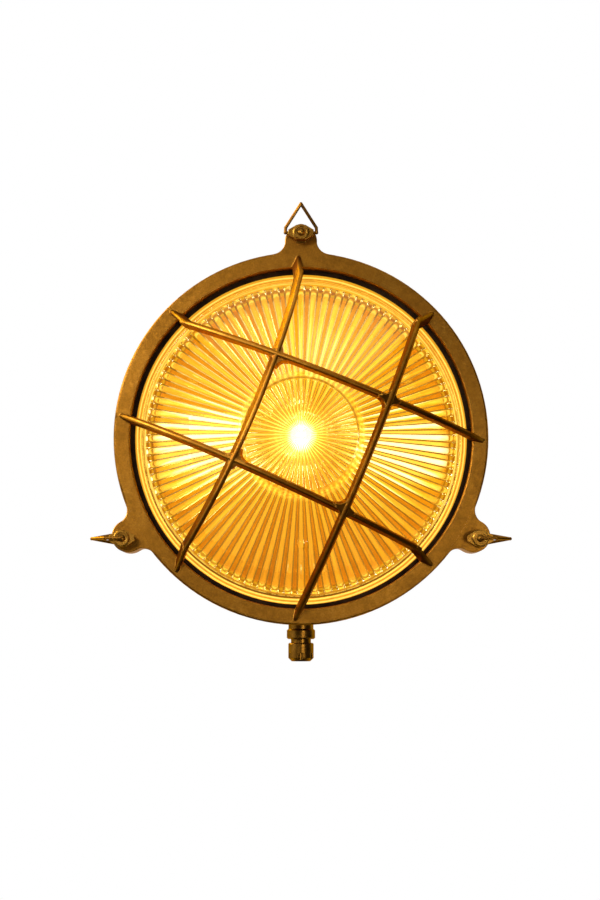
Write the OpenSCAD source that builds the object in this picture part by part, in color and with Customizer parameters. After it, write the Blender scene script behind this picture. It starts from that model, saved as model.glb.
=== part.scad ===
// Round cast wall light with a lattice guard, ribbed glass and three thumb nuts.
// The back face lies on the wall, the lamp points away from it, and the cable comes in from below.

/* [Body] */
// Outer radius of the body's side wall where it meets the flange
body_r = 97; // [90:1:98]
// Outer radius of the body at the wall
back_r = 90; // [70:1:92]
// Depth of the body from the wall to the parting line
body_depth = 46; // [40:1:60]
// Thickness of the body's side wall
body_wall = 3.5; // [2.5:0.5:5]
// Thickness of the body's floor
floor_t = 4; // [3:0.5:6]
// Thickness of the body's front flange and lugs
flange_t = 8; // [6:0.5:10]
// How far the body's flange stands back from the cover's edge
flange_inset = 0.8; // [0:0.1:2]

/* [Cover] */
// Outer radius of the cover ring
ring_r = 110; // [106:1:125]
// Radius of the cover's opening
opening_r = 100.5; // [98:0.5:101]
// Depth of the cover ring
ring_depth = 12; // [10:0.5:16]
// Depth from the ring's face to the gasket
seat_depth = 8; // [5:0.5:9]
// Rounding of the ring's edges
ring_edge_r = 1.2; // [0.5:0.1:2]

/* [Lugs] */
// Distance of the studs from the lamp's axis
stud_circle_r = 120; // [118:1:135]
// Radius of a lug's round end
lug_r = 9.5; // [8:0.5:11]
// Radius of the hollow corner between a lug and the ring
lug_fillet_r = 8; // [5:0.5:10]
// Angle between one lug and the next
lug_pitch = 120; // [120]

/* [Guard] */
// Height of the guard above the ring's face
guard_h = 48; // [30:1:60]
// Radius on which the guard's bars land
foot_r = 107.5; // [104:0.5:108]
// Distance of the bars' tops from the guard's middle
bar_spread = 34; // [28:0.5:38]
// Width of a bar's outer ridge
bar_ridge_w = 2.8; // [2:0.1:4]
// Width of a bar's inner side
bar_root_w = 4.8; // [3:0.1:6]
// Depth of a bar
bar_deep = 7; // [5:0.5:9]
// Radius of the hollow corners where bars cross
crossing_fillet_r = 4.7; // [3:0.1:8]

/* [Glass] */
// Outer radius of the glass flange
glass_r = 101; // [99:0.5:103]
// Thickness of the glass flange
glass_flange_t = 4; // [3:0.5:5]
// Height of the glass face above its flange
glass_rise = 24; // [15:1:30]
// Wall of the glass
glass_wall = 3.5; // [3:0.5:5]
// Radius of the raised disc in the middle
disc_r = 34; // [25:1:40]
// Height of the raised disc
disc_step = 3; // [2:0.5:4]
// Radius where the long ribs end
rib_end_r = 91.5; // [88:0.5:93]
// Number of long ribs
rib_count = 72; // [36:2:80]
// Number of ribs on the disc
disc_rib_count = 48; // [24:2:52]

/* [Gasket] */
// Thickness of the gasket's lips
gasket_lip = 1.75; // [1.25:0.25:2.5]
// Rubber outside the glass edge
gasket_back = 3; // [2:0.5:4]
// Cover that the front lip gives the glass
gasket_cover = 3; // [2:0.5:4]

/* [Thumb nuts] */
// Radius of the studs
stud_r = 2.1; // [1.9:0.1:2.5]
// Radius of a nut's round boss
boss_r = 4.7; // [4.2:0.1:5.5]
// Height of a nut
nut_h = 10; // [9:0.5:13]
// Reach of a nut's wings from its axis
wing_reach = 7.5; // [6.5:0.5:9]
// Radius of the finger loops' wire
wire_r = 0.95; // [0.7:0.05:1.1]
// Reach of a finger loop from the nut's axis
loop_reach = 17; // [14:0.5:20]
// Half width of the top loop
loop_half_w = 9.2; // [8.8:0.1:11]

/* [Cable gland] */
// Height of the gland's axis above the wall
gland_z = 22; // [18:1:26]
// Radius of the gland body's collar
gland_collar_r = 8.5; // [7.5:0.5:10]
// Radius of the gland nut
gland_nut_r = 7.6; // [6.8:0.1:8]
// Radius of the cable hole in the seal
cable_r = 3.5; // [2.5:0.5:4]

/* [Lamp] */
// Radius of the bulb's globe
bulb_r = 22.5; // [18:0.5:22.5]
// Radius of the lampholder
holder_r = 16.5; // [16:0.5:17]
// Length of the lampholder
holder_l = 30; // [26:1:34]
// Height of the bulb's axis above the wall
bulb_z = 37; // [36.5:0.5:38]

/* [Wall fixing] */
// Radius of the circle that the wall screws stand on
fixing_circle_r = 65; // [50:1:70]
// Radius of the wall screw holes
fixing_hole_r = 2.75; // [2:0.25:3.5]

/* [Hidden] */
$fn = 96;

// Overlap between parts of one casting
eps = 0.01;
// Space between a seat and what lies in it
seat_gap = 0.3;
// Space round what turns or slides
running_gap = 0.05;
// Space round a stud in the cover's lug
stud_hole_gap = 0.4;
// How far a lug reaches into its ring
lug_root = 4;
// Step in height from one bar of the guard to the next
bar_drop = 0.45;
// How far a hollow corner's circle crosses the faces that it joins
crossing = 0.15;

// Heights above the wall
face_z = body_depth + ring_depth;
gasket_front_z = face_z - seat_depth;
gasket_h = glass_flange_t + 2 * gasket_lip;
gasket_rear_z = gasket_front_z - gasket_h;
flange_top_z = gasket_front_z - gasket_lip;
flange_bottom_z = flange_top_z - glass_flange_t;
glass_face_z = flange_top_z + glass_rise;
gasket_r = glass_r + gasket_back;
seat_r = gasket_r + seat_gap;
flange_r = ring_r - flange_inset;

// Directions of the lugs, studs and thumb nuts
lug_angles = [90, 90 + lug_pitch, 90 + 2 * lug_pitch];
// Each bar: the angles at which its arch meets the ring
bar_feet = [[89, 226], [-92, 47.5], [-1.5, 138.5], [173, -42]];
// Each bar: the angles at which it lands. An end that lands elsewhere than its arch has a straight leg.
bar_landings = [[90.5, 227.5], [-92, 43.5], [-1.5, 136], [173, -44.5]];
// Each bar: how much further out than the bar spread its top lies
bar_shifts = [-6.5, 7, 0.5, -2.5];
// Arc of a bar, in degrees, that a straight leg takes the place of
leg_arc = 8;
// Where the bars cross: a bar, the side of its top, and the bar that it crosses
bar_crossings = [[0, 1, 2], [0, -1, 3], [1, -1, 2], [1, 1, 3]];
// Depth below the ridges at which the hollow corners of a crossing start
web_top = 1;
// Thickness of the metal in those corners
web_h = 4.9;

// Radius of the boss that takes the cable gland
entry_boss_r = 12;
// Distance of that boss's end from the lamp's axis
entry_boss_end = 104;
// Radius of the gland's thread in the boss
entry_thread_r = 6;
// Radius of the pillars that hold the tray
pillar_r = 5;
// Radius of the circle that the pillars stand on
pillar_circle_r = 76;
// Height of the pillars above the body's floor
pillar_h = 8;
// Directions of the pillars
pillar_angles = [30, 150, 270];
// Height of the tray's underside above the wall
tray_z = floor_t + pillar_h;
// Radius of the tray's screws
tray_screw_r = 1.6;
// Directions of the wall screws
fixing_angles = [0, 120, 240];
// Radius of the pads round the wall screws
fixing_pad_r = 7;
// Height of the pads round the wall screws
fixing_pad_h = 2;
// Place of the earth screw, across
earth_x = 30;
// Place of the earth screw, up
earth_y = -46;
// Radius of the earth screw's pad
earth_pad_r = 5;
// Height of the earth screw's pad
earth_pad_h = 3;
// Radius of the earth screw
earth_screw_r = 2;
// Thickness of the earth washer
earth_washer_t = 0.8;
// Radius of the bosses behind the body's lugs
stud_boss_r = 5;
// Height of the bosses behind the body's lugs
stud_boss_h = 4;
// Radius of the bracket's screws
bracket_screw_r = 1.5;
// Height of the studs' ends above the wall
stud_top_z = face_z + nut_h;
// Radius of a nut's foot
nut_flange_r = 5.2;
// Height of a nut's foot
nut_flange_h = 1.6;
// Radius of a nut's neck
nut_neck_r = 3.1;
// Height of a nut's neck
nut_neck_h = 2.6;
// Height of a nut's wings above the ring's face
wing_z = nut_flange_h + nut_neck_h + 0.4;
// Thickness of a nut's wings
wing_h = 4;
// Height of the top loop's ends above the ring's face
loop_pin_z = wing_z + wing_h / 2;
// How far the top loop's ends reach into the wings
loop_pin_in = 2.2;
// How far the top loop hangs away from the ring, in degrees
loop_tilt = 8;
// Radius of the rounded corners of a loop's wire
knuckle_r = wire_r * 1.06;
// Radius of a side loop's eye, to the middle of its wire
loop_eye_r = nut_neck_r + running_gap + 0.05 + wire_r;
// Height of a side loop's eye above the ring's face
loop_eye_z = nut_flange_h + nut_neck_h / 2;
// Height of the strand that passes over a nut
loop_over_z = nut_h + wire_r + 0.7;
// Length of the gland body's neck
gland_neck_h = 7;
// Length of the gland body's collar
gland_collar_h = 6;
// Thickness of the gland's washer
gland_washer_t = 1.2;
// Radius of the gland body's thread
gland_thread_r = 6;
// Length of the gland body's thread
gland_thread_h = 8;
// Length of the gland nut
gland_nut_h = 11;
// Where the gland body's collar ends
gland_top = gland_washer_t + gland_neck_h + gland_collar_h;
// Where the gland nut starts
gland_nut_z = gland_top + 2.2;
// Radius of the gland's seal
seal_r = 4.6;
// Thickness of the tray
tray_t = 1;
// Radius of the tray's flat middle
tray_flat_r = 80;
// Radius of the tray's rim
tray_rim_r = 88;
// Height of the tray's rim above the wall
tray_rim_z = 34;
// Place of the bracket's upright, across
bracket_x = -66;
// Thickness of the bracket's plate
bracket_t = 1.5;
// Length of the bracket's foot
bracket_foot = 14;
// Half the bracket's width
bracket_half_w = 15;
// How far the bracket stands above the lampholder's axis
bracket_above = 8;
// Distance of the bracket's screws from its middle
bracket_hole_y = 11;
// Place of the tray's wire hole under the lampholder, across
wire_hole_x = -44;
// Radius of the tray's wire hole
wire_hole_r = 5;
// Place of the lampholder's back end, across
holder_x = bracket_x + bracket_t;
// Distance of the terminal screws from the lampholder's axis
terminal_y = 8.5;
// Radius of the bulb's screw cap
cap_r = 13;
// Thickness of the lampholder's metal shell
shell_t = 0.5;
// Length of the lampholder's metal shell
shell_h = 22;
// Thickness of the lampholder's floor
holder_floor = 7;

// Puts a shape drawn with its height away from the wall into the wall light's frame
module on_wall() {
    rotate([90, 0, 0])
        children();
}

// Repeats a shape at each stud
module at_studs() {
    for (a = lug_angles)
        rotate(a)
            translate([stud_circle_r, 0, 0])
                children();
}

// A straight rod between two points
module rod(from, to, r) {
    v = to - from;
    len = norm(v);
    translate(from)
        rotate([0, acos(v[2] / len), atan2(v[1], v[0])])
            cylinder(r = r, h = len);
}

// Lug

// Outline of one lug that grows from a ring of radius ring, with hollow corners
module lug_outline(ring) {
    corner_x = lug_r + lug_fillet_r - crossing;
    corner_y = sqrt(pow(ring + lug_fillet_r - crossing, 2) - pow(corner_x, 2));
    end_y = stud_circle_r - 3.5;
    rotate(-90) {
        translate([0, end_y])
            circle(r = lug_r);
        translate([-lug_r, ring - lug_root])
            square([2 * lug_r, end_y - ring + lug_root]);
        for (side = [-1, 1])
            difference() {
                polygon([[0, ring - lug_root], [side * corner_x * ring / (ring + lug_fillet_r),
                    corner_y * ring / (ring + lug_fillet_r) - 1], [side * corner_x, corner_y], [0, corner_y]]);
                translate([side * corner_x, corner_y])
                    circle(r = lug_fillet_r);
            }
    }
}

module lugs(ring, from_z, height) {
    for (a = lug_angles)
        rotate(a)
            translate([0, 0, from_z])
                linear_extrude(height)
                    lug_outline(ring);
}

// Body

// The body's section: a tapered pan with a flange that holds the gasket
module body_profile() {
    inner_r = body_r - body_wall;
    flange_z = body_depth - flange_t;
    polygon([[0, 0], [back_r, 0], [body_r, flange_z - 3], [body_r + 3, flange_z], [flange_r - 1, flange_z],
        [flange_r, flange_z + 1], [flange_r, body_depth], [seat_r, body_depth], [seat_r, gasket_rear_z],
        [inner_r, gasket_rear_z], [inner_r, flange_z - 3], [back_r - body_wall, floor_t], [0, floor_t]]);
}

// The body: a cast pan with lugs, inner pillars and the cable boss
module body_casting() {
    color([0.52, 0.35, 0.12]) on_wall()
        difference() {
            union() {
                rotate_extrude()
                    body_profile();
                lugs(flange_r, body_depth - flange_t, flange_t);
                entry_boss();
                for (a = pillar_angles)
                    rotate(a)
                        translate([pillar_circle_r, 0, floor_t - eps])
                            cylinder(r = pillar_r, h = pillar_h + eps);
                for (a = fixing_angles)
                    rotate(a)
                        translate([fixing_circle_r, 0, floor_t - eps])
                            cylinder(r = fixing_pad_r, h = fixing_pad_h + eps);
                translate([earth_x, earth_y, floor_t - eps])
                    cylinder(r = earth_pad_r, h = earth_pad_h + eps);
                translate([0, 0, body_depth - flange_t - stud_boss_h])
                    at_studs()
                        cylinder(r = stud_boss_r, h = stud_boss_h + 1);
            }
            translate([0, -back_r + 20, gland_z])
                rotate([90, 0, 0])
                    cylinder(r = entry_thread_r, h = 60);
            translate([0, 0, body_depth - flange_t - stud_boss_h - 1])
                at_studs()
                    cylinder(r = stud_r, h = flange_t + stud_boss_h + 2);
            for (a = fixing_angles)
                rotate(a)
                    translate([fixing_circle_r, 0, -1])
                        cylinder(r = fixing_hole_r, h = floor_t + fixing_pad_h + 2);
            for (a = pillar_angles)
                rotate(a)
                    translate([pillar_circle_r, 0, floor_t])
                        cylinder(r = tray_screw_r, h = pillar_h + 1);
            translate([earth_x, earth_y, floor_t - 2])
                cylinder(r = earth_screw_r, h = earth_pad_h + 3);
        }
}

// The boss under the body that takes the cable gland, open to the pan's inside
module entry_boss() {
    difference() {
        translate([0, -back_r + 8, gland_z])
            rotate([90, 0, 0])
                cylinder(r = entry_boss_r, h = entry_boss_end - back_r + 8);
        translate([0, 0, floor_t])
            cylinder(r1 = back_r - body_wall, r2 = body_r - body_wall,
                h = body_depth - flange_t - 3 - floor_t);
    }
}

// Cover

// The ring's section, with rounded edges and the step that presses on the gasket
module ring_profile() {
    inner_x = opening_r + ring_edge_r / 2;
    union() {
        polygon([[opening_r, gasket_front_z], [opening_r, face_z - ring_edge_r / 2], [inner_x, face_z],
            [ring_r - ring_edge_r, face_z], [ring_r - ring_edge_r, face_z - ring_edge_r],
            [ring_r, face_z - ring_edge_r], [ring_r, body_depth], [seat_r, body_depth],
            [seat_r, gasket_front_z]]);
        translate([ring_r - ring_edge_r, face_z - ring_edge_r])
            circle(r = ring_edge_r);
    }
}

// A bar's section: a narrow rounded ridge outside, wider towards the glass.
// x is the distance below the ridge, y the width.
module bar_section() {
    ridge = bar_ridge_w / 2;
    root = bar_root_w / 2;
    translate([-ridge, 0])
        circle(r = ridge);
    polygon([[-ridge, -ridge], [-ridge, ridge], [1 - bar_deep, root], [-bar_deep, root - 1],
        [-bar_deep, 1 - root], [1 - bar_deep, -root]]);
}

function ring_point(angle) = foot_r * [cos(angle), sin(angle)];
function bar_middle(i) = (ring_point(bar_feet[i][0]) + ring_point(bar_feet[i][1])) / 2;
function bar_half(i) = norm(ring_point(bar_feet[i][0]) - ring_point(bar_feet[i][1])) / 2;
function bar_side(i) = atan2(bar_middle(i)[1], bar_middle(i)[0]);
function bar_tilt(i) = atan((norm(bar_middle(i)) - bar_spread - bar_shifts[i]) / guard_h);
function bar_rise(i) = (guard_h - i * bar_drop) / cos(bar_tilt(i));
function bar_bend_r(i) = (pow(bar_half(i), 2) + pow(bar_rise(i), 2)) / (2 * bar_rise(i));
function bar_half_angle(i) = asin(bar_half(i) / bar_bend_r(i));

// Turns a direction or a point about the lamp's axis
function turned(p, a) = [p[0] * cos(a) - p[1] * sin(a), p[0] * sin(a) + p[1] * cos(a), p[2]];

// A point in bar i's own plane, across and up, in the lamp's frame
function from_plane(i, across, height) = turned([across, norm(bar_middle(i)) - height * sin(bar_tilt(i)),
    height * cos(bar_tilt(i))], bar_side(i) - 90) + [0, 0, face_z];

// A point on the ridge of bar i, at an angle from its top
function ridge_point(i, angle) = from_plane(i, bar_bend_r(i) * sin(angle),
    bar_rise(i) - bar_bend_r(i) * (1 - cos(angle)));

// The direction in which the ridge of bar i faces at that angle
function ridge_out(i, angle) = from_plane(i, sin(angle), cos(angle)) - from_plane(i, 0, 0);

// The direction along the ridge of bar i at that angle
function ridge_along(i, angle) = from_plane(i, cos(angle), -sin(angle)) - from_plane(i, 0, 0);

// The angle from its top at which bar i, on one side, reaches a height above the ring's face
function angle_at(i, side, height) =
    side * acos((height / cos(bar_tilt(i)) - bar_rise(i) + bar_bend_r(i)) / bar_bend_r(i));

// How far the ridge of bar i at a height lies from the plane of bar j
function plane_gap(i, side, j, height) =
    let (p = ridge_point(i, angle_at(i, side, height)), s = bar_side(j))
    p[0] * cos(s) + p[1] * sin(s) - norm(bar_middle(j)) + height * tan(bar_tilt(j));

// The height at which bar i crosses the plane of bar j, found between two heights
function crossing_height(i, side, j, low, high, steps = 30) =
    let (mid = (low + high) / 2)
    steps == 0 ? mid
    : plane_gap(i, side, j, low) * plane_gap(i, side, j, mid) <= 0
        ? crossing_height(i, side, j, low, mid, steps - 1)
        : crossing_height(i, side, j, mid, high, steps - 1);

// Does end k of bar i have a straight leg?
function has_leg(i, k) = bar_landings[i][k] != bar_feet[i][k];

// One arched bar. It stands on the ring and leans inwards.
module bar(i) {
    past = 4;
    join = 1.2;
    first = bar_half_angle(i) + (has_leg(i, 0) ? join - leg_arc : past);
    second = bar_half_angle(i) + (has_leg(i, 1) ? join - leg_arc : past);
    translate([0, 0, face_z])
        rotate(bar_side(i) - 90)
            translate([0, norm(bar_middle(i)), 0])
                rotate([90 + bar_tilt(i), 0, 0])
                    translate([0, bar_rise(i) - bar_bend_r(i), 0])
                        rotate(90 - first)
                            rotate_extrude(angle = first + second)
                                translate([bar_bend_r(i), 0])
                                    bar_section();
}

// The straight leg at end k of bar i, from the ring to the arch
module leg(i, k) {
    knee_angle = (1 - 2 * k) * (bar_half_angle(i) - leg_arc);
    knee = ridge_point(i, knee_angle);
    landing = ring_point(bar_landings[i][k]);
    foot = [landing[0], landing[1], face_z];
    along = (knee - foot) / norm(knee - foot);
    out = ridge_out(i, knee_angle);
    flat_out = out - (out * along) * along;
    up = flat_out / norm(flat_out);
    side = cross(along, up);
    start = foot - 4 * along;
    multmatrix([[up[0], side[0], along[0], start[0]], [up[1], side[1], along[1], start[1]],
        [up[2], side[2], along[2], start[2]]])
        linear_extrude(norm(knee - foot) + 5.5)
            bar_section();
}

// Outline of the metal between two bars that cross at an angle: four hollow corners
module web_outline(angle) {
    reach = crossing_fillet_r + bar_ridge_w / 2;
    for (k = [0:3]) {
        half = (k % 2 == 0 ? angle : 180 - angle) / 2;
        far = reach / sin(half);
        along = reach / tan(half);
        rotate(k * 90 + angle / 2)
            difference() {
                polygon([[0, 0], [along * cos(half), -along * sin(half)], [far, 0],
                    [along * cos(half), along * sin(half)]]);
                translate([far, 0])
                    circle(r = crossing_fillet_r + crossing);
            }
    }
}

// The metal in the corners where bar i crosses bar j
module crossing_web(i, side, j) {
    top = guard_h - i * bar_drop;
    angle = angle_at(i, side, crossing_height(i, side, j, guard_h / 2, top - eps));
    place = ridge_point(i, angle);
    s = bar_side(j);
    other = asin((place[0] * sin(s) - place[1] * cos(s)) / bar_bend_r(j));
    first = ridge_along(i, angle);
    second = ridge_along(j, other);
    upright = cross(first, second);
    out = upright * sign(upright[2]) / norm(upright);
    across = cross(out, first);
    between = atan2(second * across, second * first);
    multmatrix([[first[0], across[0], out[0], place[0]], [first[1], across[1], out[1], place[1]],
        [first[2], across[2], out[2], place[2]]])
        translate([0, 0, -web_top - web_h])
            linear_extrude(web_h)
                web_outline(between < 0 ? between + 180 : between);
}

module guard() {
    intersection() {
        union() {
            for (i = [0:len(bar_feet) - 1]) {
                bar(i);
                for (k = [0, 1])
                    if (has_leg(i, k))
                        leg(i, k);
            }
            for (c = bar_crossings)
                crossing_web(c[0], c[1], c[2]);
        }
        translate([0, 0, face_z - 3])
            cylinder(r = ring_r - 0.5, h = guard_h + 10);
    }
}

// The cover: ring, lugs and guard in one casting
module cover_casting() {
    color([0.58, 0.39, 0.13]) on_wall()
        difference() {
            union() {
                rotate_extrude()
                    ring_profile();
                lugs(ring_r, body_depth, ring_depth);
                guard();
            }
            translate([0, 0, body_depth - 1])
                at_studs()
                    cylinder(r = stud_r + stud_hole_gap, h = ring_depth + 2);
        }
}

// Glass and gasket

// The glass section without its ribs
module glass_profile() {
    top = glass_face_z;
    shoulder_r = disc_r + disc_step;
    shoulder_z = top - disc_step;
    foot = rib_end_r + 2;
    w = glass_wall;
    polygon([[0, top], [disc_r, top], [shoulder_r, shoulder_z], [foot, flange_top_z + 0.6],
        [foot + 1, flange_top_z], [glass_r, flange_top_z], [glass_r, flange_bottom_z],
        [foot - 1, flange_bottom_z], [shoulder_r - 1, shoulder_z - w], [disc_r - 1, top - w], [0, top - w]]);
}

// A long rib under the glass's slope, narrow at the disc and wide at the rim
module long_rib() {
    end_r = rib_end_r + 0.5;
    start_r = disc_r + 2.6;
    w_in = 0.36 * 360 / rib_count * start_r * PI / 180;
    w_out = 0.36 * 360 / rib_count * end_r * PI / 180;
    w = glass_wall;
    inner_z = glass_face_z - disc_step - w - 0.5;
    outer_z = flange_bottom_z + 0.3;
    from = [start_r, 0, inner_z + w_in * 0.2];
    to = [end_r, 0, outer_z + w_out * 0.2];
    v = to - from;
    translate(from)
        rotate([0, acos(v[2] / norm(v)), 0])
            cylinder(r1 = w_in, r2 = w_out, h = norm(v), $fn = 24);
}

// A rib under the raised disc
module disc_rib() {
    w_out = 0.38 * 360 / disc_rib_count * (disc_r - 1.2) * PI / 180;
    translate([6, 0, glass_face_z - glass_wall + 0.1])
        rotate([0, 90, 0])
            cylinder(r1 = 0.35, r2 = w_out, h = disc_r - 7.2, $fn = 24);
}

// What is cut from the ends of the long ribs, so that each ends in an arch
module rib_end_cut() {
    low_z = flange_bottom_z - 5;
    far_r = rib_end_r + 10;
    rotate_extrude()
        polygon([[rib_end_r + 1.5, flange_top_z - 1], [rib_end_r - 3.5, low_z], [far_r, low_z],
            [far_r, flange_top_z - 1]]);
}

module glass() {
    color([0.95, 0.85, 0.6, 0.35]) on_wall() {
        rotate_extrude()
            glass_profile();
        difference() {
            for (i = [0:rib_count - 1])
                rotate(i * 360 / rib_count)
                    long_rib();
            rib_end_cut();
        }
        for (i = [0:disc_rib_count - 1])
            rotate(i * 360 / disc_rib_count)
                disc_rib();
    }
}

module glass_gasket() {
    color([0.05, 0.05, 0.05]) on_wall()
        rotate_extrude()
            difference() {
                translate([glass_r - gasket_cover, gasket_rear_z])
                    square([gasket_cover + gasket_back, gasket_h]);
                translate([0, flange_bottom_z])
                    square([glass_r, glass_flange_t]);
            }
}

// Studs and thumb nuts

// The three studs, with rounded ends, screwed into the body's lugs
module cover_studs() {
    stud_bottom_z = body_depth - flange_t - stud_boss_h;
    color([0.6, 0.42, 0.18]) on_wall()
        at_studs() {
            translate([0, 0, stud_bottom_z])
                cylinder(r = stud_r, h = stud_top_z - stud_bottom_z - 1);
            translate([0, 0, stud_top_z - 1])
                intersection() {
                    translate([0, 0, -2])
                        sphere(r = norm([stud_r, 2]));
                    cylinder(r = stud_r + 1, h = 3);
                }
        }
}

// A nut's wings from above: a lemon with two points
module wing_outline() {
    flat = 1.5;
    belly = 4.4;
    polygon([[wing_reach, flat], [wing_reach, -flat], [2.6, -belly], [-2.6, -belly],
        [-wing_reach, -flat], [-wing_reach, flat], [-2.6, belly], [2.6, belly]]);
}

// A thumb nut with its wings along x, standing on the ring's face
module thumb_nut_body() {
    difference() {
        union() {
            cylinder(r = nut_flange_r, h = nut_flange_h);
            cylinder(r = nut_neck_r, h = nut_h - 1);
            translate([0, 0, nut_flange_h + nut_neck_h])
                cylinder(r = boss_r - 0.4, h = 0.4 + eps);
            translate([0, 0, wing_z])
                cylinder(r = boss_r, h = nut_h - wing_z - 0.5);
            translate([0, 0, nut_h - 0.5 - eps])
                cylinder(r1 = boss_r, r2 = boss_r - 0.5, h = 0.5 + eps);
            translate([0, 0, wing_z])
                linear_extrude(wing_h)
                    wing_outline();
        }
        translate([0, 0, -1])
            cylinder(r = stud_r + running_gap, h = nut_h + 2);
        translate([0, 0, nut_h - 1.2])
            cylinder(r = stud_r + 1.1, h = 2);
    }
}

// Places a nut's own frame at one stud: turn gives the direction of its wings
module nut_place(stud, turn) {
    on_wall()
        rotate(lug_angles[stud])
            translate([stud_circle_r, 0, face_z])
                rotate(turn - lug_angles[stud])
                    children();
}

module thumb_nut_top() {
    color([0.66, 0.46, 0.2]) nut_place(0, 0)
        difference() {
            thumb_nut_body();
            for (side = [-1, 1])
                translate([side * (wing_reach - loop_pin_in - 0.2), 0, loop_pin_z])
                    rotate([0, side * 90, 0])
                        cylinder(r = wire_r + running_gap, h = 5);
        }
}

module thumb_nut_left() {
    color([0.66, 0.46, 0.2]) nut_place(1, 0)
        thumb_nut_body();
}

module thumb_nut_right() {
    color([0.66, 0.46, 0.2]) nut_place(2, 0)
        thumb_nut_body();
}

// Finger loops

// The top loop hangs on the nut's two wings
module finger_loop_top() {
    tip = [0, loop_reach, 0];
    color([0.6, 0.4, 0.15]) nut_place(0, 0)
        translate([0, 0, loop_pin_z])
            rotate([loop_tilt, 0, 0])
                union() {
                    for (side = [-1, 1]) {
                        corner = [side * loop_half_w, 0, 0];
                        shoulder = [side * (loop_half_w - 0.2), 3, 0];
                        rod([side * (wing_reach - loop_pin_in), 0, 0], corner, wire_r);
                        rod(corner, shoulder, wire_r);
                        rod(shoulder, tip, wire_r);
                        for (p = [corner, shoulder])
                            translate(p)
                                rotate([90, 0, 0])
                                    sphere(r = knuckle_r);
                    }
                    translate(tip)
                        sphere(r = knuckle_r);
                }
}

// A side loop: an eye round the nut's neck, two strands to the tip and one back over the nut
module side_loop() {
    tip = [loop_reach + 0.6, 0, loop_eye_z + 1];
    bend = [9.5, 0, loop_over_z - 0.6];
    nose = [0.2, 0, loop_over_z];
    spread = 40;
    union() {
        translate([0, 0, loop_eye_z])
            rotate_extrude()
                translate([loop_eye_r, 0])
                    circle(r = wire_r, $fn = 32);
        for (side = [-1, 1])
            rod([loop_eye_r * cos(spread), side * loop_eye_r * sin(spread), loop_eye_z], tip, wire_r * 0.94);
        rod(nose, bend, wire_r);
        rod(bend, tip, wire_r);
        for (p = [tip, bend, nose])
            translate(p)
                rotate([0, 90, 0])
                    sphere(r = knuckle_r);
    }
}

module finger_loop_left() {
    color([0.6, 0.4, 0.15]) nut_place(1, 180)
        side_loop();
}

module finger_loop_right() {
    color([0.6, 0.4, 0.15]) nut_place(2, 0)
        side_loop();
}

// Cable gland, drawn along its axis with the cable leaving at +z

module gland_place() {
    on_wall()
        translate([0, -entry_boss_end, gland_z])
            rotate([90, 0, 0])
                children();
}

module gland_washer() {
    color([0.08, 0.08, 0.08]) gland_place()
        difference() {
            cylinder(r = 9, h = gland_washer_t);
            translate([0, 0, -1])
                cylinder(r = entry_thread_r, h = gland_washer_t + 2);
        }
}

module gland_body() {
    collar_z = gland_washer_t + gland_neck_h;
    color([0.5, 0.34, 0.14]) gland_place()
        difference() {
            union() {
                translate([0, 0, -10])
                    cylinder(r = entry_thread_r, h = 10 + gland_washer_t);
                translate([0, 0, gland_washer_t])
                    cylinder(r = gland_collar_r - 1, h = gland_neck_h + eps);
                translate([0, 0, collar_z])
                    cylinder(r1 = gland_collar_r - 0.8, r2 = gland_collar_r, h = 0.8);
                translate([0, 0, collar_z + 0.8 - eps])
                    cylinder(r = gland_collar_r, h = gland_collar_h - 1.6 + 2 * eps);
                translate([0, 0, gland_top - 0.8])
                    cylinder(r1 = gland_collar_r, r2 = gland_collar_r - 0.8, h = 0.8);
                translate([0, 0, gland_top - eps])
                    cylinder(r = gland_thread_r, h = gland_thread_h);
            }
            translate([0, 0, -11])
                cylinder(r = cable_r + 0.6, h = 60);
            translate([0, 0, gland_top - 2])
                cylinder(r = seal_r, h = 20);
        }
}

// The seal that grips the cable
module gland_seal() {
    color([0.1, 0.1, 0.1]) gland_place()
        difference() {
            translate([0, 0, gland_top - 2])
                cylinder(r = seal_r, h = 10.4);
            translate([0, 0, gland_top - 3])
                cylinder(r = cable_r, h = 20);
        }
}

// The gland nut: round, with a fluted rounded end
module gland_nut() {
    flutes = 6;
    flute_z = gland_nut_z + gland_nut_h - 5;
    color([0.56, 0.38, 0.16]) gland_place()
        difference() {
            union() {
                translate([0, 0, gland_nut_z])
                    cylinder(r1 = gland_nut_r - 0.6, r2 = gland_nut_r, h = 0.6);
                translate([0, 0, gland_nut_z + 0.6 - eps])
                    cylinder(r = gland_nut_r, h = gland_nut_h - 2.6 + eps);
                translate([0, 0, gland_nut_z + gland_nut_h - 2 - eps])
                    cylinder(r1 = gland_nut_r, r2 = gland_nut_r - 2, h = 2);
            }
            translate([0, 0, gland_nut_z - 1])
                cylinder(r = gland_thread_r + running_gap, h = gland_thread_h - 2.2 + 1.6);
            translate([0, 0, gland_nut_z - 1])
                cylinder(r = cable_r + 0.5, h = gland_nut_h + 2);
            for (i = [0:flutes - 1])
                rotate(i * 360 / flutes + 30)
                    translate([gland_nut_r + 0.9, 0, flute_z])
                        cylinder(r = 1.9, h = 6);
        }
}

// Inside the lamp

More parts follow.
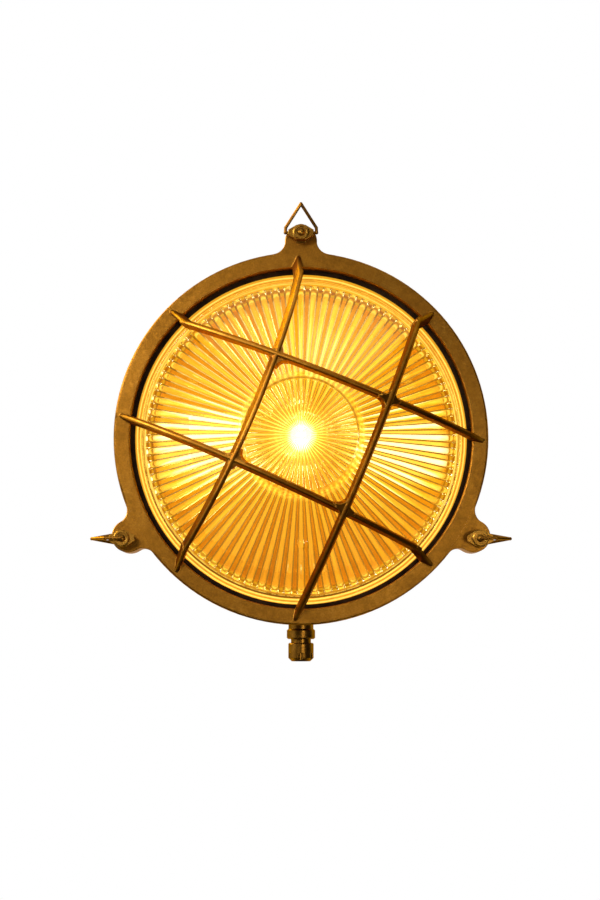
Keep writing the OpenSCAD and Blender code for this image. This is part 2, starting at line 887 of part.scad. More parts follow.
// The golden reflector tray that carries the lampholder
module reflector_tray() {
    color([0.85, 0.65, 0.3]) on_wall()
        difference() {
            rotate_extrude()
                polygon([[0, tray_z], [tray_flat_r, tray_z], [tray_rim_r, tray_rim_z],
                    [tray_rim_r - 1.1, tray_rim_z], [tray_flat_r - 0.6, tray_z + tray_t], [0, tray_z + tray_t]]);
            for (a = pillar_angles)
                rotate(a)
                    translate([pillar_circle_r, 0, tray_z - 1])
                        cylinder(r = tray_screw_r + 0.3, h = 4);
            for (y = [-bracket_hole_y, bracket_hole_y])
                translate([bracket_x + bracket_foot / 2, y, tray_z - 1])
                    cylinder(r = bracket_screw_r, h = 4);
            translate([wire_hole_x, 0, tray_z - 1])
                cylinder(r = wire_hole_r, h = 4);
        }
}

// A pan head screw with a slot, standing on z = 0
module pan_screw(shank, length, head) {
    difference() {
        union() {
            translate([0, 0, -length])
                cylinder(r = shank, h = length);
            intersection() {
                cylinder(r = head, h = head);
                translate([0, 0, -head * 0.9])
                    sphere(r = head * 1.6);
            }
        }
        translate([-head - 1, -0.4, head * 0.4])
            cube([2 * head + 2, 0.8, head]);
    }
}

module tray_screws() {
    color([0.75, 0.7, 0.6]) on_wall()
        for (a = pillar_angles)
            rotate(a)
                translate([pillar_circle_r, 0, tray_z + tray_t])
                    pan_screw(tray_screw_r, 6, 2.8);
}

// A bent plate that holds the lampholder up from the tray
module holder_bracket() {
    color([0.7, 0.7, 0.68]) on_wall()
        translate([bracket_x, 0, tray_z + tray_t])
            difference() {
                union() {
                    translate([0, -bracket_half_w, 0])
                        cube([bracket_foot, 2 * bracket_half_w, bracket_t]);
                    translate([0, -bracket_half_w, 0])
                        cube([bracket_t, 2 * bracket_half_w, bulb_z + bracket_above - tray_z - tray_t]);
                }
                for (y = [-bracket_hole_y, bracket_hole_y])
                    translate([bracket_foot / 2, y, -1])
                        cylinder(r = bracket_screw_r, h = 4);
                translate([-1, 0, bulb_z - tray_z - tray_t])
                    rotate([0, 90, 0]) {
                        cylinder(r = 4, h = 4);
                        for (y = [-terminal_y, terminal_y])
                            translate([0, y, 0])
                                cylinder(r = 3.2, h = 4);
                    }
            }
}

module bracket_screws() {
    color([0.75, 0.75, 0.72]) on_wall()
        for (y = [-bracket_hole_y, bracket_hole_y])
            translate([bracket_x + bracket_foot / 2, y, tray_z + tray_t + bracket_t])
                pan_screw(bracket_screw_r, 4, 2.6);
}

// Draws a shape along the bulb's axis, from the holder's back end
module on_lamp_axis() {
    on_wall()
        translate([holder_x, 0, bulb_z])
            rotate([0, 90, 0])
                children();
}

// The ceramic lampholder
module lampholder() {
    color([0.93, 0.91, 0.86]) on_lamp_axis()
        difference() {
            union() {
                cylinder(r = holder_r - 1.5, h = 8);
                translate([0, 0, 8 - eps])
                    cylinder(r1 = holder_r - 1.5, r2 = holder_r, h = 4 + eps);
                translate([0, 0, 12 - eps])
                    cylinder(r = holder_r, h = holder_l - 12);
            }
            translate([0, 0, holder_floor])
                cylinder(r = cap_r + shell_t + 0.4, h = holder_l);
            for (y = [-terminal_y, terminal_y])
                translate([0, y, -1])
                    cylinder(r = 1.5, h = 6);
        }
}

// The metal shell that the bulb screws into
module holder_shell() {
    color([0.75, 0.62, 0.35]) on_lamp_axis()
        translate([0, 0, holder_floor])
            difference() {
                cylinder(r = cap_r + shell_t + 0.2, h = shell_h);
                translate([0, 0, shell_t])
                    cylinder(r = cap_r + 0.2, h = shell_h);
                translate([0, 0, -1])
                    cylinder(r = 7, h = 3);
                translate([5, -4, -1])
                    cube([9, 8, 3]);
            }
}

module centre_contact() {
    color([0.78, 0.6, 0.3]) on_lamp_axis()
        translate([0, 0, holder_floor]) {
            cylinder(r = 4, h = 0.8);
            cylinder(r = 1.5, h = 2);
        }
}

module side_contact() {
    color([0.78, 0.6, 0.3]) on_lamp_axis()
        translate([8, -2.5, holder_floor]) {
            cube([5, 5, 0.6]);
        }
}

module terminal_screws() {
    color([0.72, 0.6, 0.35]) on_lamp_axis()
        for (y = [-terminal_y, terminal_y])
            translate([0, y, 0])
                rotate([180, 0, 0])
                    pan_screw(1.5, 5, 2.4);
}

// The bulb with its screw cap, one sealed piece
module bulb() {
    cap_start = holder_floor + 2.2;
    cap_h = 20;
    globe_z = cap_start + cap_h + 12 + bulb_r;
    neck_r = 12.5;
    neck_z = globe_z - sqrt(bulb_r * bulb_r - neck_r * neck_r);
    color([0.98, 0.96, 0.9]) on_lamp_axis() {
        translate([0, 0, cap_start])
            cylinder(r1 = 4, r2 = 6, h = 2);
        translate([0, 0, cap_start + 2 - eps])
            cylinder(r1 = 9, r2 = cap_r, h = 2);
        translate([0, 0, cap_start + 4 - 2 * eps])
            cylinder(r = cap_r, h = cap_h - 4);
        translate([0, 0, cap_start + cap_h - 3 * eps])
            cylinder(r1 = neck_r + 0.2, r2 = neck_r, h = neck_z - cap_start - cap_h + 0.1);
        translate([0, 0, globe_z])
            sphere(r = bulb_r);
    }
}

module earth_screw() {
    color([0.8, 0.66, 0.35]) on_wall()
        translate([earth_x, earth_y, floor_t + earth_pad_h + earth_washer_t])
            pan_screw(earth_screw_r, 3.6, 3.2);
}

module earth_washer() {
    color([0.8, 0.7, 0.4]) on_wall()
        translate([earth_x, earth_y, floor_t + earth_pad_h])
            difference() {
                cylinder(r = 4.5, h = earth_washer_t);
                translate([0, 0, -1])
                    cylinder(r = earth_screw_r + 0.1, h = 3);
            }
}

body_casting();
cover_casting();
glass();
glass_gasket();
cover_studs();
thumb_nut_top();
thumb_nut_left();
thumb_nut_right();
finger_loop_top();
finger_loop_left();
finger_loop_right();
gland_body();
gland_nut();
gland_seal();
gland_washer();
reflector_tray();
tray_screws();
lampholder();
holder_shell();
centre_contact();
side_contact();
holder_bracket();
bracket_screws();
terminal_screws();
bulb();
earth_screw();
earth_washer();
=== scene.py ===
"""Round cast wall light with a lattice guard over lit ribbed glass: looks, light and camera."""
import math
from collections import namedtuple

import bpy
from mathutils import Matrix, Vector

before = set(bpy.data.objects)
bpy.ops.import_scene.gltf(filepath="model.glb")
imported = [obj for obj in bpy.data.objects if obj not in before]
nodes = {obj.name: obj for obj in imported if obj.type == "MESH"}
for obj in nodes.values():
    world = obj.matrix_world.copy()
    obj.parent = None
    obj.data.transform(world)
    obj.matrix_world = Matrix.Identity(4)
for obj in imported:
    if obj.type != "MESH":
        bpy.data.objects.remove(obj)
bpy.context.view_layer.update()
MM = 0.001
BLACK = (0.0, 0.0, 0.0)
WHITE = (1.0, 1.0, 1.0)

# ---------------------------------------------------------------- sizes that the looks follow

# The glass: its ribs, the edge of its raised disc and the start of its smooth rim.
LONG_RIBS = 72
DISC_RIBS = 48
DISC_RIBS_R = 34 * MM
DISC_EDGE_R = 35.5 * MM
DISC_EDGE_DEPTH = 64 * MM
GLASS_RIM_R = 91.5 * MM

# The body's inside that gets painted light: floor, sloping wall and the shelf behind the glass.
PAN_FLOOR_DEPTH = 4.5 * MM
PAN_WALL_R = 88 * MM
PAN_WALL_SLOPE = 0.21
SHELF_DEPTH = 41.5 * MM
SHELF_R = 98.5 * MM
SHELF_LINE_PITCH = 2.1 * MM

# The gasket's lip that gets painted light, standing in for the bulb's light from behind.
LIP_DEPTHS = (36 * MM, 44.4 * MM)
LIP_R = 101.2 * MM

# The tray's spun lines, and where its flat middle turns up to the rim, where the painted light is dimmer.
TRAY_LINE_PITCH = 0.9 * MM
TRAY_RIM_RADII = (84 * MM, 90 * MM)

# The guard's bars start here, in front of the ring's face.
BAR_DEPTHS = (60 * MM, 66 * MM)

# ---------------------------------------------------------------- node helpers


class Nodes:
    """Short calls for building one material."""

    def __init__(self, name):
        self.mat = bpy.data.materials.new(name)
        self.mat.use_nodes = True
        self.tree = self.mat.node_tree
        self.tree.nodes.clear()
        self.out = self.add("ShaderNodeOutputMaterial")
        self.coord = self.add("ShaderNodeTexCoord").outputs["Object"]

    def add(self, kind, **values):
        n = self.tree.nodes.new(kind)
        for key, value in values.items():
            setattr(n, key, value)
        return n

    def link(self, a, b):
        self.tree.links.new(a, b)

    def noise(self, size, detail=4.0, rough=0.55, where=None):
        """Noise with features of about size metres, from 0 to 1."""
        n = self.add("ShaderNodeTexNoise")
        n.inputs["Scale"].default_value = 1.0 / size
        n.inputs["Detail"].default_value = detail
        n.inputs["Roughness"].default_value = rough
        self.link(where or self.coord, n.inputs["Vector"])
        return n.outputs["Fac"]

    def ramp(self, fac, stops):
        r = self.add("ShaderNodeValToRGB")
        e = r.color_ramp.elements
        while len(e) < len(stops):
            e.new(0.5)
        for item, (pos, col) in zip(e, stops):
            item.position = pos
            item.color = (*col, 1)
        self.link(fac, r.inputs["Fac"])
        return r.outputs["Color"]

    def curve(self, fac, low, high, to_low=0.0, to_high=1.0):
        """Maps fac from low..high to to_low..to_high, held at both ends."""
        m = self.add("ShaderNodeMapRange")
        m.inputs["From Min"].default_value = low
        m.inputs["From Max"].default_value = high
        m.inputs["To Min"].default_value = to_low
        m.inputs["To Max"].default_value = to_high
        self.link(fac, m.inputs["Value"])
        return m.outputs["Result"]

    def math(self, op, a, b=None):
        m = self.add("ShaderNodeMath", operation=op)
        for i, v in enumerate((a, b)):
            if v is None:
                continue
            if isinstance(v, (int, float)):
                m.inputs[i].default_value = v
            else:
                self.link(v, m.inputs[i])
        return m.outputs[0]

    def blend(self, *parts):
        """Sum of (value, share) pairs."""
        total = None
        for value, share in parts:
            term = self.math("MULTIPLY", value, share)
            total = term if total is None else self.math("ADD", total, term)
        return total

    def between(self, value, low, high):
        return self.math("MULTIPLY", self.math("LESS_THAN", value, high), self.math("GREATER_THAN", value, low))

    def mix(self, fac, a, b, blend="MIX"):
        m = self.add("ShaderNodeMix", data_type="RGBA", blend_type=blend)
        for socket, v in ((m.inputs[0], fac), (m.inputs[6], a), (m.inputs[7], b)):
            if isinstance(v, tuple):
                socket.default_value = (*v, 1)
            elif isinstance(v, (int, float)):
                socket.default_value = v
            else:
                self.link(v, socket)
        return m.outputs[2]

    def edges(self, radius, low=0.02, high=0.3):
        """1 on sharp edges within radius metres and 0 on open faces, and the rounded normal."""
        bevel = self.add("ShaderNodeBevel", samples=4)
        bevel.inputs["Radius"].default_value = radius
        geo = self.add("ShaderNodeNewGeometry")
        dot = self.add("ShaderNodeVectorMath", operation="DOT_PRODUCT")
        self.link(bevel.outputs["Normal"], dot.inputs[0])
        self.link(geo.outputs["True Normal"], dot.inputs[1])
        off = self.math("SUBTRACT", 1.0, dot.outputs["Value"])
        return self.curve(off, low, high), bevel.outputs["Normal"]

    def facing_wall(self):
        """1 on surfaces that face the wall, 0 on those that face the room."""
        split = self.add("ShaderNodeSeparateXYZ")
        self.link(self.add("ShaderNodeNewGeometry").outputs["True Normal"], split.inputs[0])
        return self.curve(split.outputs[1], 0.05, 0.2)

    def bump(self, height, distance, strength=1.0, normal=None):
        b = self.add("ShaderNodeBump")
        b.inputs["Strength"].default_value = strength
        b.inputs["Distance"].default_value = distance
        self.link(height, b.inputs["Height"])
        if normal is not None:
            self.link(normal, b.inputs["Normal"])
        return b.outputs["Normal"]

    def shader(self, color, rough, normal=None, **fixed):
        p = self.add("ShaderNodeBsdfPrincipled")
        for name, v in (("Base Color", color), ("Roughness", rough), ("Normal", normal)):
            if v is None:
                continue
            if isinstance(v, (int, float)):
                p.inputs[name].default_value = v
            else:
                self.link(v, p.inputs[name])
        for name, v in fixed.items():
            p.inputs[name.replace("_", " ")].default_value = v
        self.link(p.outputs["BSDF"], self.out.inputs["Surface"])
        return p

    def emit(self, p, color, strength):
        self.link(color, p.inputs["Emission Color"])
        p.inputs["Emission Strength"].default_value = strength


Place = namedtuple("Place", "x z r angle depth")


def place_of(n):
    """Place on the lamp: across, up, distance from its axis, angle round it, and depth out from the wall."""
    split = n.add("ShaderNodeSeparateXYZ")
    n.link(n.coord, split.inputs[0])
    x, y, z = (split.outputs[i] for i in range(3))
    r = n.math("SQRT", n.math("ADD", n.math("MULTIPLY", x, x), n.math("MULTIPLY", z, z)))
    return Place(x, z, r, n.math("ARCTAN2", z, x), n.math("MULTIPLY", y, -1.0))


def blob(n, u, v, centre, size):
    """A soft oval patch over the two values u and v, 1 in its middle."""
    a = n.math("DIVIDE", n.math("SUBTRACT", u, centre[0]), size[0])
    b = n.math("DIVIDE", n.math("SUBTRACT", v, centre[1]), size[1])
    both = n.math("ADD", n.math("MULTIPLY", a, a), n.math("MULTIPLY", b, b))
    return n.math("EXPONENT", n.math("MULTIPLY", both, -1.0))


# ---------------------------------------------------------------- painted light: the lamp's own warm light, painted on the parts inside it

# Painted light, from the darkest amber, low on the tray, to the white-hot patches beside the bulb.
GLOW_TONES = [
    (0.0, (0.26, 0.10, 0.008)),
    (0.25, (0.62, 0.31, 0.015)),
    (0.45, (0.93, 0.57, 0.02)),
    (0.68, (1.1, 0.92, 0.16)),
    (0.9, (2.0, 1.95, 1.7)),
]
GLOW_BASE = 0.33
GLOW_RIM = (0.62, 0.26, 0.03)


def glow(n, p, strength):
    """Painted light: emission that stands in for the light the lamp's inside holds, brightest to the left and
    right of the bulb and none on faces towards the wall.
    """
    at = place_of(n)
    ray = n.add("ShaderNodeCombineXYZ")
    n.link(n.math("COSINE", at.angle), ray.inputs[0])
    n.link(n.math("SINE", at.angle), ray.inputs[2])
    streaks = n.noise(0.07, 3, 0.65, where=ray.outputs[0])
    cloud = n.noise(20 * MM, 4, 0.6)
    left = blob(n, at.x, at.z, (-52 * MM, -1 * MM), (38 * MM, 20 * MM))
    right = blob(n, at.x, at.z, (64 * MM, -4 * MM), (30 * MM, 19 * MM))
    above = blob(n, at.x, at.z, (14 * MM, 56 * MM), (34 * MM, 26 * MM))
    below = n.curve(at.z, -75 * MM, -20 * MM, 0.22, 0.0)
    heat = n.blend((n.math("ADD", left, right), 1.05), (above, 0.36))
    heat = n.math("ADD", heat, n.curve(cloud, 0.25, 0.75, -0.07, 0.07))
    heat = n.math("ADD", heat, n.curve(streaks, 0.3, 0.7, -0.20, 0.20))
    heat = n.math("SUBTRACT", n.math("ADD", heat, GLOW_BASE), below)
    tone = n.mix(n.curve(at.r, *TRAY_RIM_RADII), n.ramp(heat, GLOW_TONES), GLOW_RIM)
    # Painted light on a part that is no lamp, kept off its faces towards the wall.
    n.emit(p, n.mix(n.facing_wall(), tone, BLACK), strength)


def lit_pan(n, p, cloud):
    """Painted light on the body's inner wall and shelf: gold emission in fine rings, which stands in for the
    bulb's light led there through the glass.
    """
    at = place_of(n)
    slope = n.math("SUBTRACT", at.r, n.math("MULTIPLY", at.depth, PAN_WALL_SLOPE))
    wall = n.math("MULTIPLY", n.math("GREATER_THAN", at.depth, PAN_FLOOR_DEPTH),
                  n.math("LESS_THAN", slope, PAN_WALL_R))
    shelf = n.math("MULTIPLY", n.math("GREATER_THAN", at.depth, SHELF_DEPTH),
                   n.math("LESS_THAN", at.r, SHELF_R))
    turns = n.math("MULTIPLY", at.r, 2 * math.pi / SHELF_LINE_PITCH)
    lines = n.math("SINE", n.math("ADD", turns, n.curve(cloud, 0.3, 0.7, -0.5, 0.5)))
    gold = n.ramp(n.curve(lines, -1.0, 1.0), [
        (0.1, (0.42, 0.16, 0.008)), (0.55, (0.88, 0.42, 0.02)), (0.9, (1.0, 0.80, 0.16))])
    # Painted light: emission only on the wall and the shelf.
    n.emit(p, n.mix(n.math("MAXIMUM", wall, shelf), BLACK, gold), 1.0)


# ---------------------------------------------------------------- materials

BRASS_AT_A_GLANCE = (0.80, 0.55, 0.30, 1)
RUBBED_AND_HIGHLIGHT_GAIN = 2.1


def bars_painted_light_and_shade(n, tone):
    """Painted light and shade on the guard's bars: lighter up and to the left, darker low and to the right, as
    light falls on them.
    """
    at = place_of(n)
    # Painted light up and to the left, painted shade low and to the right, only in front of the ring's face.
    low_right = n.curve(n.math("SUBTRACT", at.x, at.z), -80 * MM, 40 * MM)
    shade = n.mix(low_right, (1.7, 1.65, 1.7), (0.55, 0.47, 0.34))
    return n.mix(1.0, tone, n.mix(n.curve(at.depth, *BAR_DEPTHS), WHITE, shade), "MULTIPLY")


def brass(name, tones, rough, grain, grain_depth, wear_and_highlight, edge_r, lit_inside=False, bars=False):
    """Aged brass: mottled tarnish, fine grain and brighter rubbed edges that are also a painted edge highlight,
    with painted light and shade on the guard's bars and painted light inside the body.
    """
    dark, mid, light = tones
    n = Nodes(name)
    cloud = n.noise(22 * MM, 5, 0.6)
    blot = n.noise(4.5 * MM, 4, 0.6)
    speck = n.noise(grain, 3, 0.7)
    tone = n.ramp(n.blend((cloud, 0.5), (blot, 0.5)), [(0.25, dark), (0.5, mid), (0.75, light)])
    pits = n.curve(speck, 0.36, 0.64)
    tone = n.mix(n.math("MULTIPLY", n.math("SUBTRACT", 1.0, pits), 0.6), tone, dark)
    # Painted light and shade on the guard's bars.
    if bars:
        tone = bars_painted_light_and_shade(n, tone)
    # Rubbed edges, brightened further as a painted edge highlight.
    edge, soft = n.edges(edge_r)
    broken = n.math("MULTIPLY", edge, n.curve(blot, 0.3, 0.6, 0.35, 1.0))
    rubbed_and_highlit = tuple(min(1.0, c * RUBBED_AND_HIGHLIGHT_GAIN) for c in light)
    tone = n.mix(n.math("MULTIPLY", broken, wear_and_highlight), tone, rubbed_and_highlit)
    rough_map = n.curve(n.blend((cloud, 0.4), (speck, 0.6)), 0.3, 0.7, rough + 0.12, rough - 0.1)
    normal = n.bump(n.blend((speck, 0.75), (blot, 0.5)), grain_depth, 0.8, soft)
    p = n.shader(tone, rough_map, normal, Metallic=1.0, Specular_Tint=BRASS_AT_A_GLANCE)
    # Painted light inside the body.
    if lit_inside:
        lit_pan(n, p, cloud)
    return n.mat


def steel():
    n = Nodes("zinc_steel")
    grain = n.noise(0.8 * MM, 3, 0.6)
    cloud = n.noise(9 * MM, 4, 0.6)
    tone = n.ramp(cloud, [(0.35, (0.42, 0.41, 0.39)), (0.65, (0.62, 0.61, 0.57))])
    edge, soft = n.edges(0.3 * MM)
    tone = n.mix(n.math("MULTIPLY", edge, 0.5), tone, (0.8, 0.79, 0.76))
    normal = n.bump(grain, 0.02 * MM, 0.6, soft)
    p = n.shader(tone, n.curve(grain, 0.3, 0.7, 0.42, 0.26), normal, Metallic=1.0)
    # Painted light: the lamp's inner glow on the steel parts.
    glow(n, p, 0.8)
    return n.mat


def rubber():
    """Dull dark rubber. The gasket's lip behind the ring gets painted light: amber emission that stands in for
    the bulb's light.
    """
    n = Nodes("black_rubber")
    fine = n.noise(0.6 * MM, 4, 0.65)
    dust = n.noise(7 * MM, 5, 0.6)
    tone = n.ramp(dust, [(0.35, (0.007, 0.003, 0.0008)), (0.7, (0.026, 0.011, 0.003))])
    normal = n.bump(fine, 0.05 * MM, 0.6)
    p = n.shader(tone, n.curve(fine, 0.3, 0.7, 0.85, 0.7), normal, Specular_IOR_Level=0.06)
    # Painted light: amber emission on the gasket's lip.
    at = place_of(n)
    lit = n.math("MULTIPLY", n.between(at.depth, *LIP_DEPTHS), n.math("LESS_THAN", at.r, LIP_R))
    n.emit(p, n.mix(lit, BLACK, (0.9, 0.42, 0.02)), 0.8)
    return n.mat


def ceramic():
    n = Nodes("unglazed_ceramic")
    fine = n.noise(0.7 * MM, 4, 0.6)
    cloud = n.noise(12 * MM, 4, 0.6)
    tone = n.ramp(cloud, [(0.35, (0.72, 0.69, 0.62)), (0.65, (0.84, 0.82, 0.76))])
    p = n.shader(tone, n.curve(fine, 0.3, 0.7, 0.6, 0.45), n.bump(fine, 0.03 * MM, 0.5))
    # Painted light: the lamp's inner glow on the lampholder.
    glow(n, p, 0.7)
    return n.mat


def reflector():
    """Spun golden tray: turning lines round the axis, and painted warm light on it."""
    n = Nodes("gold_reflector")
    rings = n.math("SINE", n.math("MULTIPLY", place_of(n).r, 2 * math.pi / TRAY_LINE_PITCH))
    cloud = n.noise(14 * MM, 4, 0.6)
    tone = n.ramp(cloud, [(0.3, (0.36, 0.16, 0.015)), (0.7, (0.46, 0.22, 0.025))])
    p = n.shader(tone, n.curve(cloud, 0.3, 0.7, 0.55, 0.45), n.bump(rings, 0.02 * MM, 0.5), Metallic=0.3)
    # Painted light: the lamp's inner glow on the tray.
    glow(n, p, 0.82)
    return n.mat


def bulb():
    """Opal bulb glass: a white-hot middle and a golden rest."""
    n = Nodes("opal_bulb")
    cloud = n.noise(7 * MM, 3, 0.6)
    opal = n.ramp(cloud, [(0.3, (0.26, 0.19, 0.085)), (0.7, (0.34, 0.25, 0.115))])
    p = n.shader(opal, n.curve(cloud, 0.3, 0.7, 0.55, 0.42))
    from_middle = n.math("ADD", place_of(n).r, n.curve(cloud, 0.3, 0.7, -1.0 * MM, 1.0 * MM))
    tone = n.ramp(n.curve(from_middle, 0.0, 30 * MM), [
        (0.0, (1.0, 1.0, 0.95)), (0.19, (1.0, 0.97, 0.72)), (0.33, (0.46, 0.33, 0.06)),
        (0.55, (0.26, 0.15, 0.010)), (0.8, (0.23, 0.125, 0.008))])
    n.emit(p, tone, 4.0)
    return n.mat


def painted_rib_light_and_shade(n, angle, count, low, high, between, on_rib):
    """Painted light and shade in the glass colour: it goes from between to on_rib with the ribs round the axis,
    as the ribs' refraction would light it.
    """
    ribs = n.math("COSINE", n.math("MULTIPLY", angle, float(count)))
    return n.mix(n.curve(ribs, low, high), between, on_rib)


def ribbed_glass():
    """Clear pressed glass, with painted shade, warmer and darker, between its ribs and painted light on them; a
    faint painted glow all over and painted glints round its raised disc. Light from the bulb passes it without
    noise.
    """
    n = Nodes("pressed_glass")
    at = place_of(n)
    wave = n.noise(16 * MM, 3, 0.5)
    fine = n.noise(2.2 * MM, 3, 0.55)
    ripple = n.noise(6 * MM, 3, 0.55)
    blister = blob(n, at.x, at.z, (1.2 * MM, -63 * MM), (3.0 * MM, 1.7 * MM))
    height = n.blend((wave, 0.6), (fine, 0.3), (ripple, 0.5), (blister, 5.0))
    # Painted light on the ribs and painted shade between them.
    long_rib_light_and_shade = painted_rib_light_and_shade(n, at.angle, LONG_RIBS, -0.6, 0.7, (0.68, 0.45, 0.05), (1.0, 0.97, 0.54))
    disc_rib_light_and_shade = painted_rib_light_and_shade(n, at.angle, DISC_RIBS, -0.1, 0.9, (0.84, 0.62, 0.14), (1.0, 0.99, 0.80))
    ribbed = n.mix(n.math("LESS_THAN", at.r, DISC_RIBS_R), long_rib_light_and_shade, disc_rib_light_and_shade)
    glass_colour_and_rib_light = n.mix(n.math("GREATER_THAN", at.r, GLASS_RIM_R), ribbed, (1.0, 0.97, 0.85))
    p = n.shader(glass_colour_and_rib_light, n.curve(fine, 0.4, 0.7, 0.0, 0.05), n.bump(height, 0.4 * MM, 0.55),
                 Transmission_Weight=1.0, IOR=1.38)
    # Painted light on the glass: a faint amber glow all over, and painted glints round the edge of the raised
    # disc.
    painted_glints = n.curve(n.noise(1.6 * MM, 2, 0.6), 0.42, 0.66)
    edge_ring = blob(n, at.r, at.depth, (DISC_EDGE_R, DISC_EDGE_DEPTH), (1.9 * MM, 9 * MM))
    n.emit(p, n.mix(n.math("MULTIPLY", edge_ring, painted_glints), (0.11, 0.05, 0.003), (1.0, 0.66, 0.10)), 0.7)
    clear = n.add("ShaderNodeBsdfTransparent")
    clear.inputs["Color"].default_value = (0.92, 0.88, 0.8, 1)
    mix = n.add("ShaderNodeMixShader")
    n.link(n.add("ShaderNodeLightPath").outputs["Is Shadow Ray"], mix.inputs[0])
    n.link(p.outputs["BSDF"], mix.inputs[1])
    n.link(clear.outputs["BSDF"], mix.inputs[2])
    n.link(mix.outputs["Shader"], n.out.inputs["Surface"])
    return n.mat


# Tarnish, middle and light tone; roughness; grain size and depth; wear and painted highlight, and reach, of the
# rubbed edges.
CAST_LOOK = (((0.15, 0.060, 0.006), (0.31, 0.130, 0.013), (0.44, 0.20, 0.026)),
             0.36, 0.8 * MM, 0.15 * MM, 0.9, 0.9 * MM)
NUT_LOOK = (((0.16, 0.07, 0.009), (0.39, 0.18, 0.022), (0.58, 0.30, 0.05)),
            0.30, 0.5 * MM, 0.05 * MM, 0.8, 0.35 * MM)
GLAND_LOOK = (((0.08, 0.034, 0.004), (0.22, 0.095, 0.010), (0.36, 0.17, 0.024)),
              0.30, 0.5 * MM, 0.04 * MM, 0.6, 0.35 * MM)
WIRE_LOOK = (((0.10, 0.04, 0.005), (0.25, 0.105, 0.012), (0.40, 0.19, 0.03)),
             0.28, 0.4 * MM, 0.03 * MM, 0.3, 0.2 * MM)
CONTACT_LOOK = (((0.55, 0.36, 0.13), (0.72, 0.5, 0.22), (0.8, 0.6, 0.3)),
                0.25, 0.4 * MM, 0.02 * MM, 0.4, 0.2 * MM)

LOOKS = (
    (brass("cast_brass", *CAST_LOOK, bars=True), ["cover_casting"]),
    (brass("body_brass", *CAST_LOOK, lit_inside=True), ["body_casting"]),
    (brass("nut_brass", *NUT_LOOK), ["cover_studs", "thumb_nut_top", "thumb_nut_left", "thumb_nut_right"]),
    (brass("gland_brass", *GLAND_LOOK), ["gland_body", "gland_nut"]),
    (brass("wire_brass", *WIRE_LOOK), ["finger_loop_top", "finger_loop_left", "finger_loop_right"]),
    (brass("contact_brass", *CONTACT_LOOK),
     ["holder_shell", "centre_contact", "side_contact", "terminal_screws", "earth_screw", "earth_washer"]),
    (steel(), ["tray_screws", "holder_bracket", "bracket_screws"]),
    (rubber(), ["glass_gasket", "gland_seal", "gland_washer"]),
    (ceramic(), ["lampholder"]),
    (reflector(), ["reflector_tray"]),
    (bulb(), ["bulb"]),
    (ribbed_glass(), ["glass"]),
)
for material, names in LOOKS:
    for name in names:
        slots = nodes[name].data.materials
        if not slots:
            slots.append(material)
        for i in range(len(slots)):
            slots[i] = material

# ---------------------------------------------------------------- floor and boards


def plane(name, centre, size, turn=(0, 0, 0)):
    bpy.ops.mesh.primitive_plane_add(size=1, location=centre, rotation=turn)
    o = bpy.context.object
    o.name = name
    o.scale = (size[0], size[1], 1)
    bpy.ops.object.transform_apply(scale=True)
    return o


def plain(name, color, rough):
    n = Nodes(name)
    grain = n.noise(0.06, 3, 0.5)
    lighter = tuple(min(1.0, c * 1.03) for c in color)
    n.shader(n.ramp(grain, [(0.3, color), (0.7, lighter)]), rough)
    return n.mat


def flag(name, centre, size, turn, color):
    """A dark board that only reflections see, as round a lamp in a studio."""
    o = plane(name, centre, size, turn)
    o.data.materials.append(plain(name, color, 0.9))
    o.visible_camera = o.visible_diffuse = o.visible_shadow = False
    return o


FLOOR_Z = -0.42
QUARTER = math.radians(90)
GREY = (0.14, 0.13, 0.115)
DARK = (0.03, 0.027, 0.024)

floor = plane("floor", (0, -0.1, FLOOR_Z), (2.4, 2.0))
floor.data.materials.append(plain("pale_floor", (0.86, 0.86, 0.85), 0.8))
flags = [
    flag("grey_card", (0, -2.4, 0.2), (5.0, 3.6), (QUARTER, 0, 0), GREY),
    flag("right_flag", (1.7, -1.1, 0.2), (2.8, 3.4), (QUARTER, 0, QUARTER), DARK),
    flag("low_flag", (0.2, -1.2, FLOOR_Z + 0.01), (3.4, 2.6), (0, 0, 0), DARK),
]

# ---------------------------------------------------------------- lights and world

MIDDLE = (0, -0.05, 0)
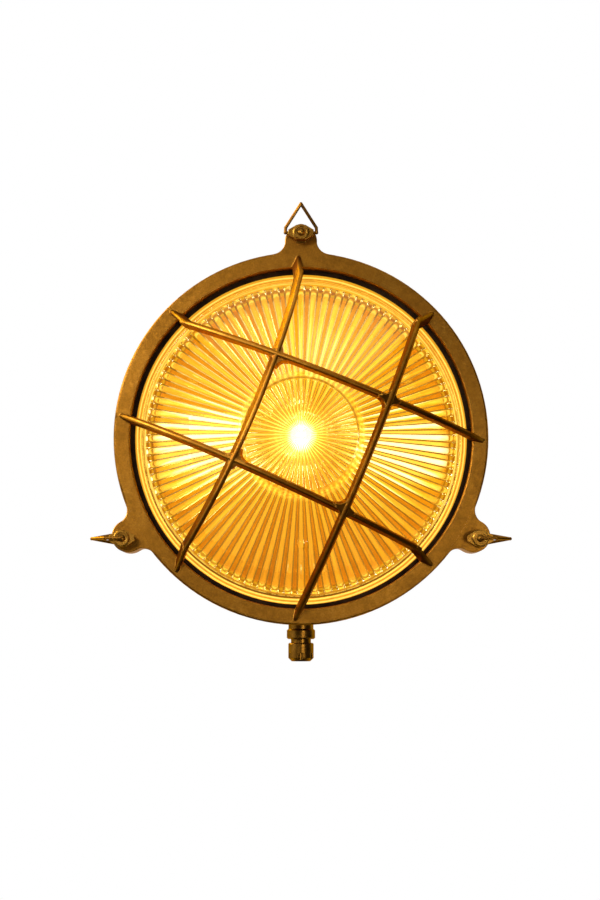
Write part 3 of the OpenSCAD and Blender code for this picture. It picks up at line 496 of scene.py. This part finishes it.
# Name, place, size of the square, watts, colour.
LIGHTS = (
    ("key", (-0.46, -1.20, 0.30), 0.30, 4.5, (1.0, 0.96, 0.90)),
    ("back", (-0.95, 0.75, 0.85), 0.50, 20, (1.0, 0.95, 0.88)),
    ("side", (-1.15, -0.34, 0.50), 0.50, 14, (1.0, 0.96, 0.90)),
    ("fill", (0.42, -1.25, -0.20), 0.30, 3.0, (1.0, 0.96, 0.90)),
)
for name, where, size, watts, color in LIGHTS:
    data = bpy.data.lights.new(name, "AREA")
    data.shape = "RECTANGLE"
    data.size = data.size_y = size
    data.energy = watts
    data.color = color
    lamp = bpy.data.objects.new(name, data)
    lamp.location = where
    lamp.rotation_euler = (Vector(MIDDLE) - Vector(where)).to_track_quat("-Z", "Y").to_euler()
    bpy.context.scene.collection.objects.link(lamp)

WORLD_ON_OBJECT = 0.75
WORLD_SEEN = 1.0

world = bpy.data.worlds.new("world")
bpy.context.scene.world = world
world.use_nodes = True
tree = world.node_tree
back = tree.nodes["Background"]
back.inputs["Color"].default_value = (1, 1, 1, 1)
path = tree.nodes.new("ShaderNodeLightPath")
seen = path.outputs["Is Camera Ray"]
for ray_kind in ("Is Glossy Ray", "Is Transmission Ray"):
    either = tree.nodes.new("ShaderNodeMath")
    either.operation = "MAXIMUM"
    tree.links.new(seen, either.inputs[0])
    tree.links.new(path.outputs[ray_kind], either.inputs[1])
    seen = either.outputs[0]
level = tree.nodes.new("ShaderNodeMapRange")
level.inputs["To Min"].default_value = WORLD_ON_OBJECT
level.inputs["To Max"].default_value = WORLD_SEEN
tree.links.new(seen, level.inputs["Value"])
tree.links.new(level.outputs["Result"], back.inputs["Strength"])

# ---------------------------------------------------------------- camera

IMAGE_H = 900
SENSOR = 36.0
DISTANCE = 1.10
PITCH = math.radians(5.5)
RING_PX = 376.7  # the ring's width in the picture
RING_W = 0.2208  # the ring's width in metres, as seen at DISTANCE
FACE = Vector((0, -0.058, 0))  # the middle of the ring's face
RING_AT = Vector((1.0, 13.3))  # pixels from the picture's middle to the ring's

focal_px = RING_PX / RING_W * DISTANCE
look = Vector((0, math.cos(PITCH), math.sin(PITCH)))
up = Vector((0, -math.sin(PITCH), math.cos(PITCH)))
across = Vector((1, 0, 0))
data = bpy.data.cameras.new("camera")
data.sensor_width = SENSOR
data.lens = focal_px * SENSOR / IMAGE_H
data.clip_start = 0.05
camera = bpy.data.objects.new("camera", data)
bpy.context.scene.collection.objects.link(camera)
camera.location = FACE - look * DISTANCE - (across * RING_AT.x + up * RING_AT.y) * DISTANCE / focal_px
camera.rotation_euler = look.to_track_quat("-Z", "Y").to_euler()
bpy.context.scene.camera = camera
bpy.context.scene.view_settings.view_transform = "Standard"
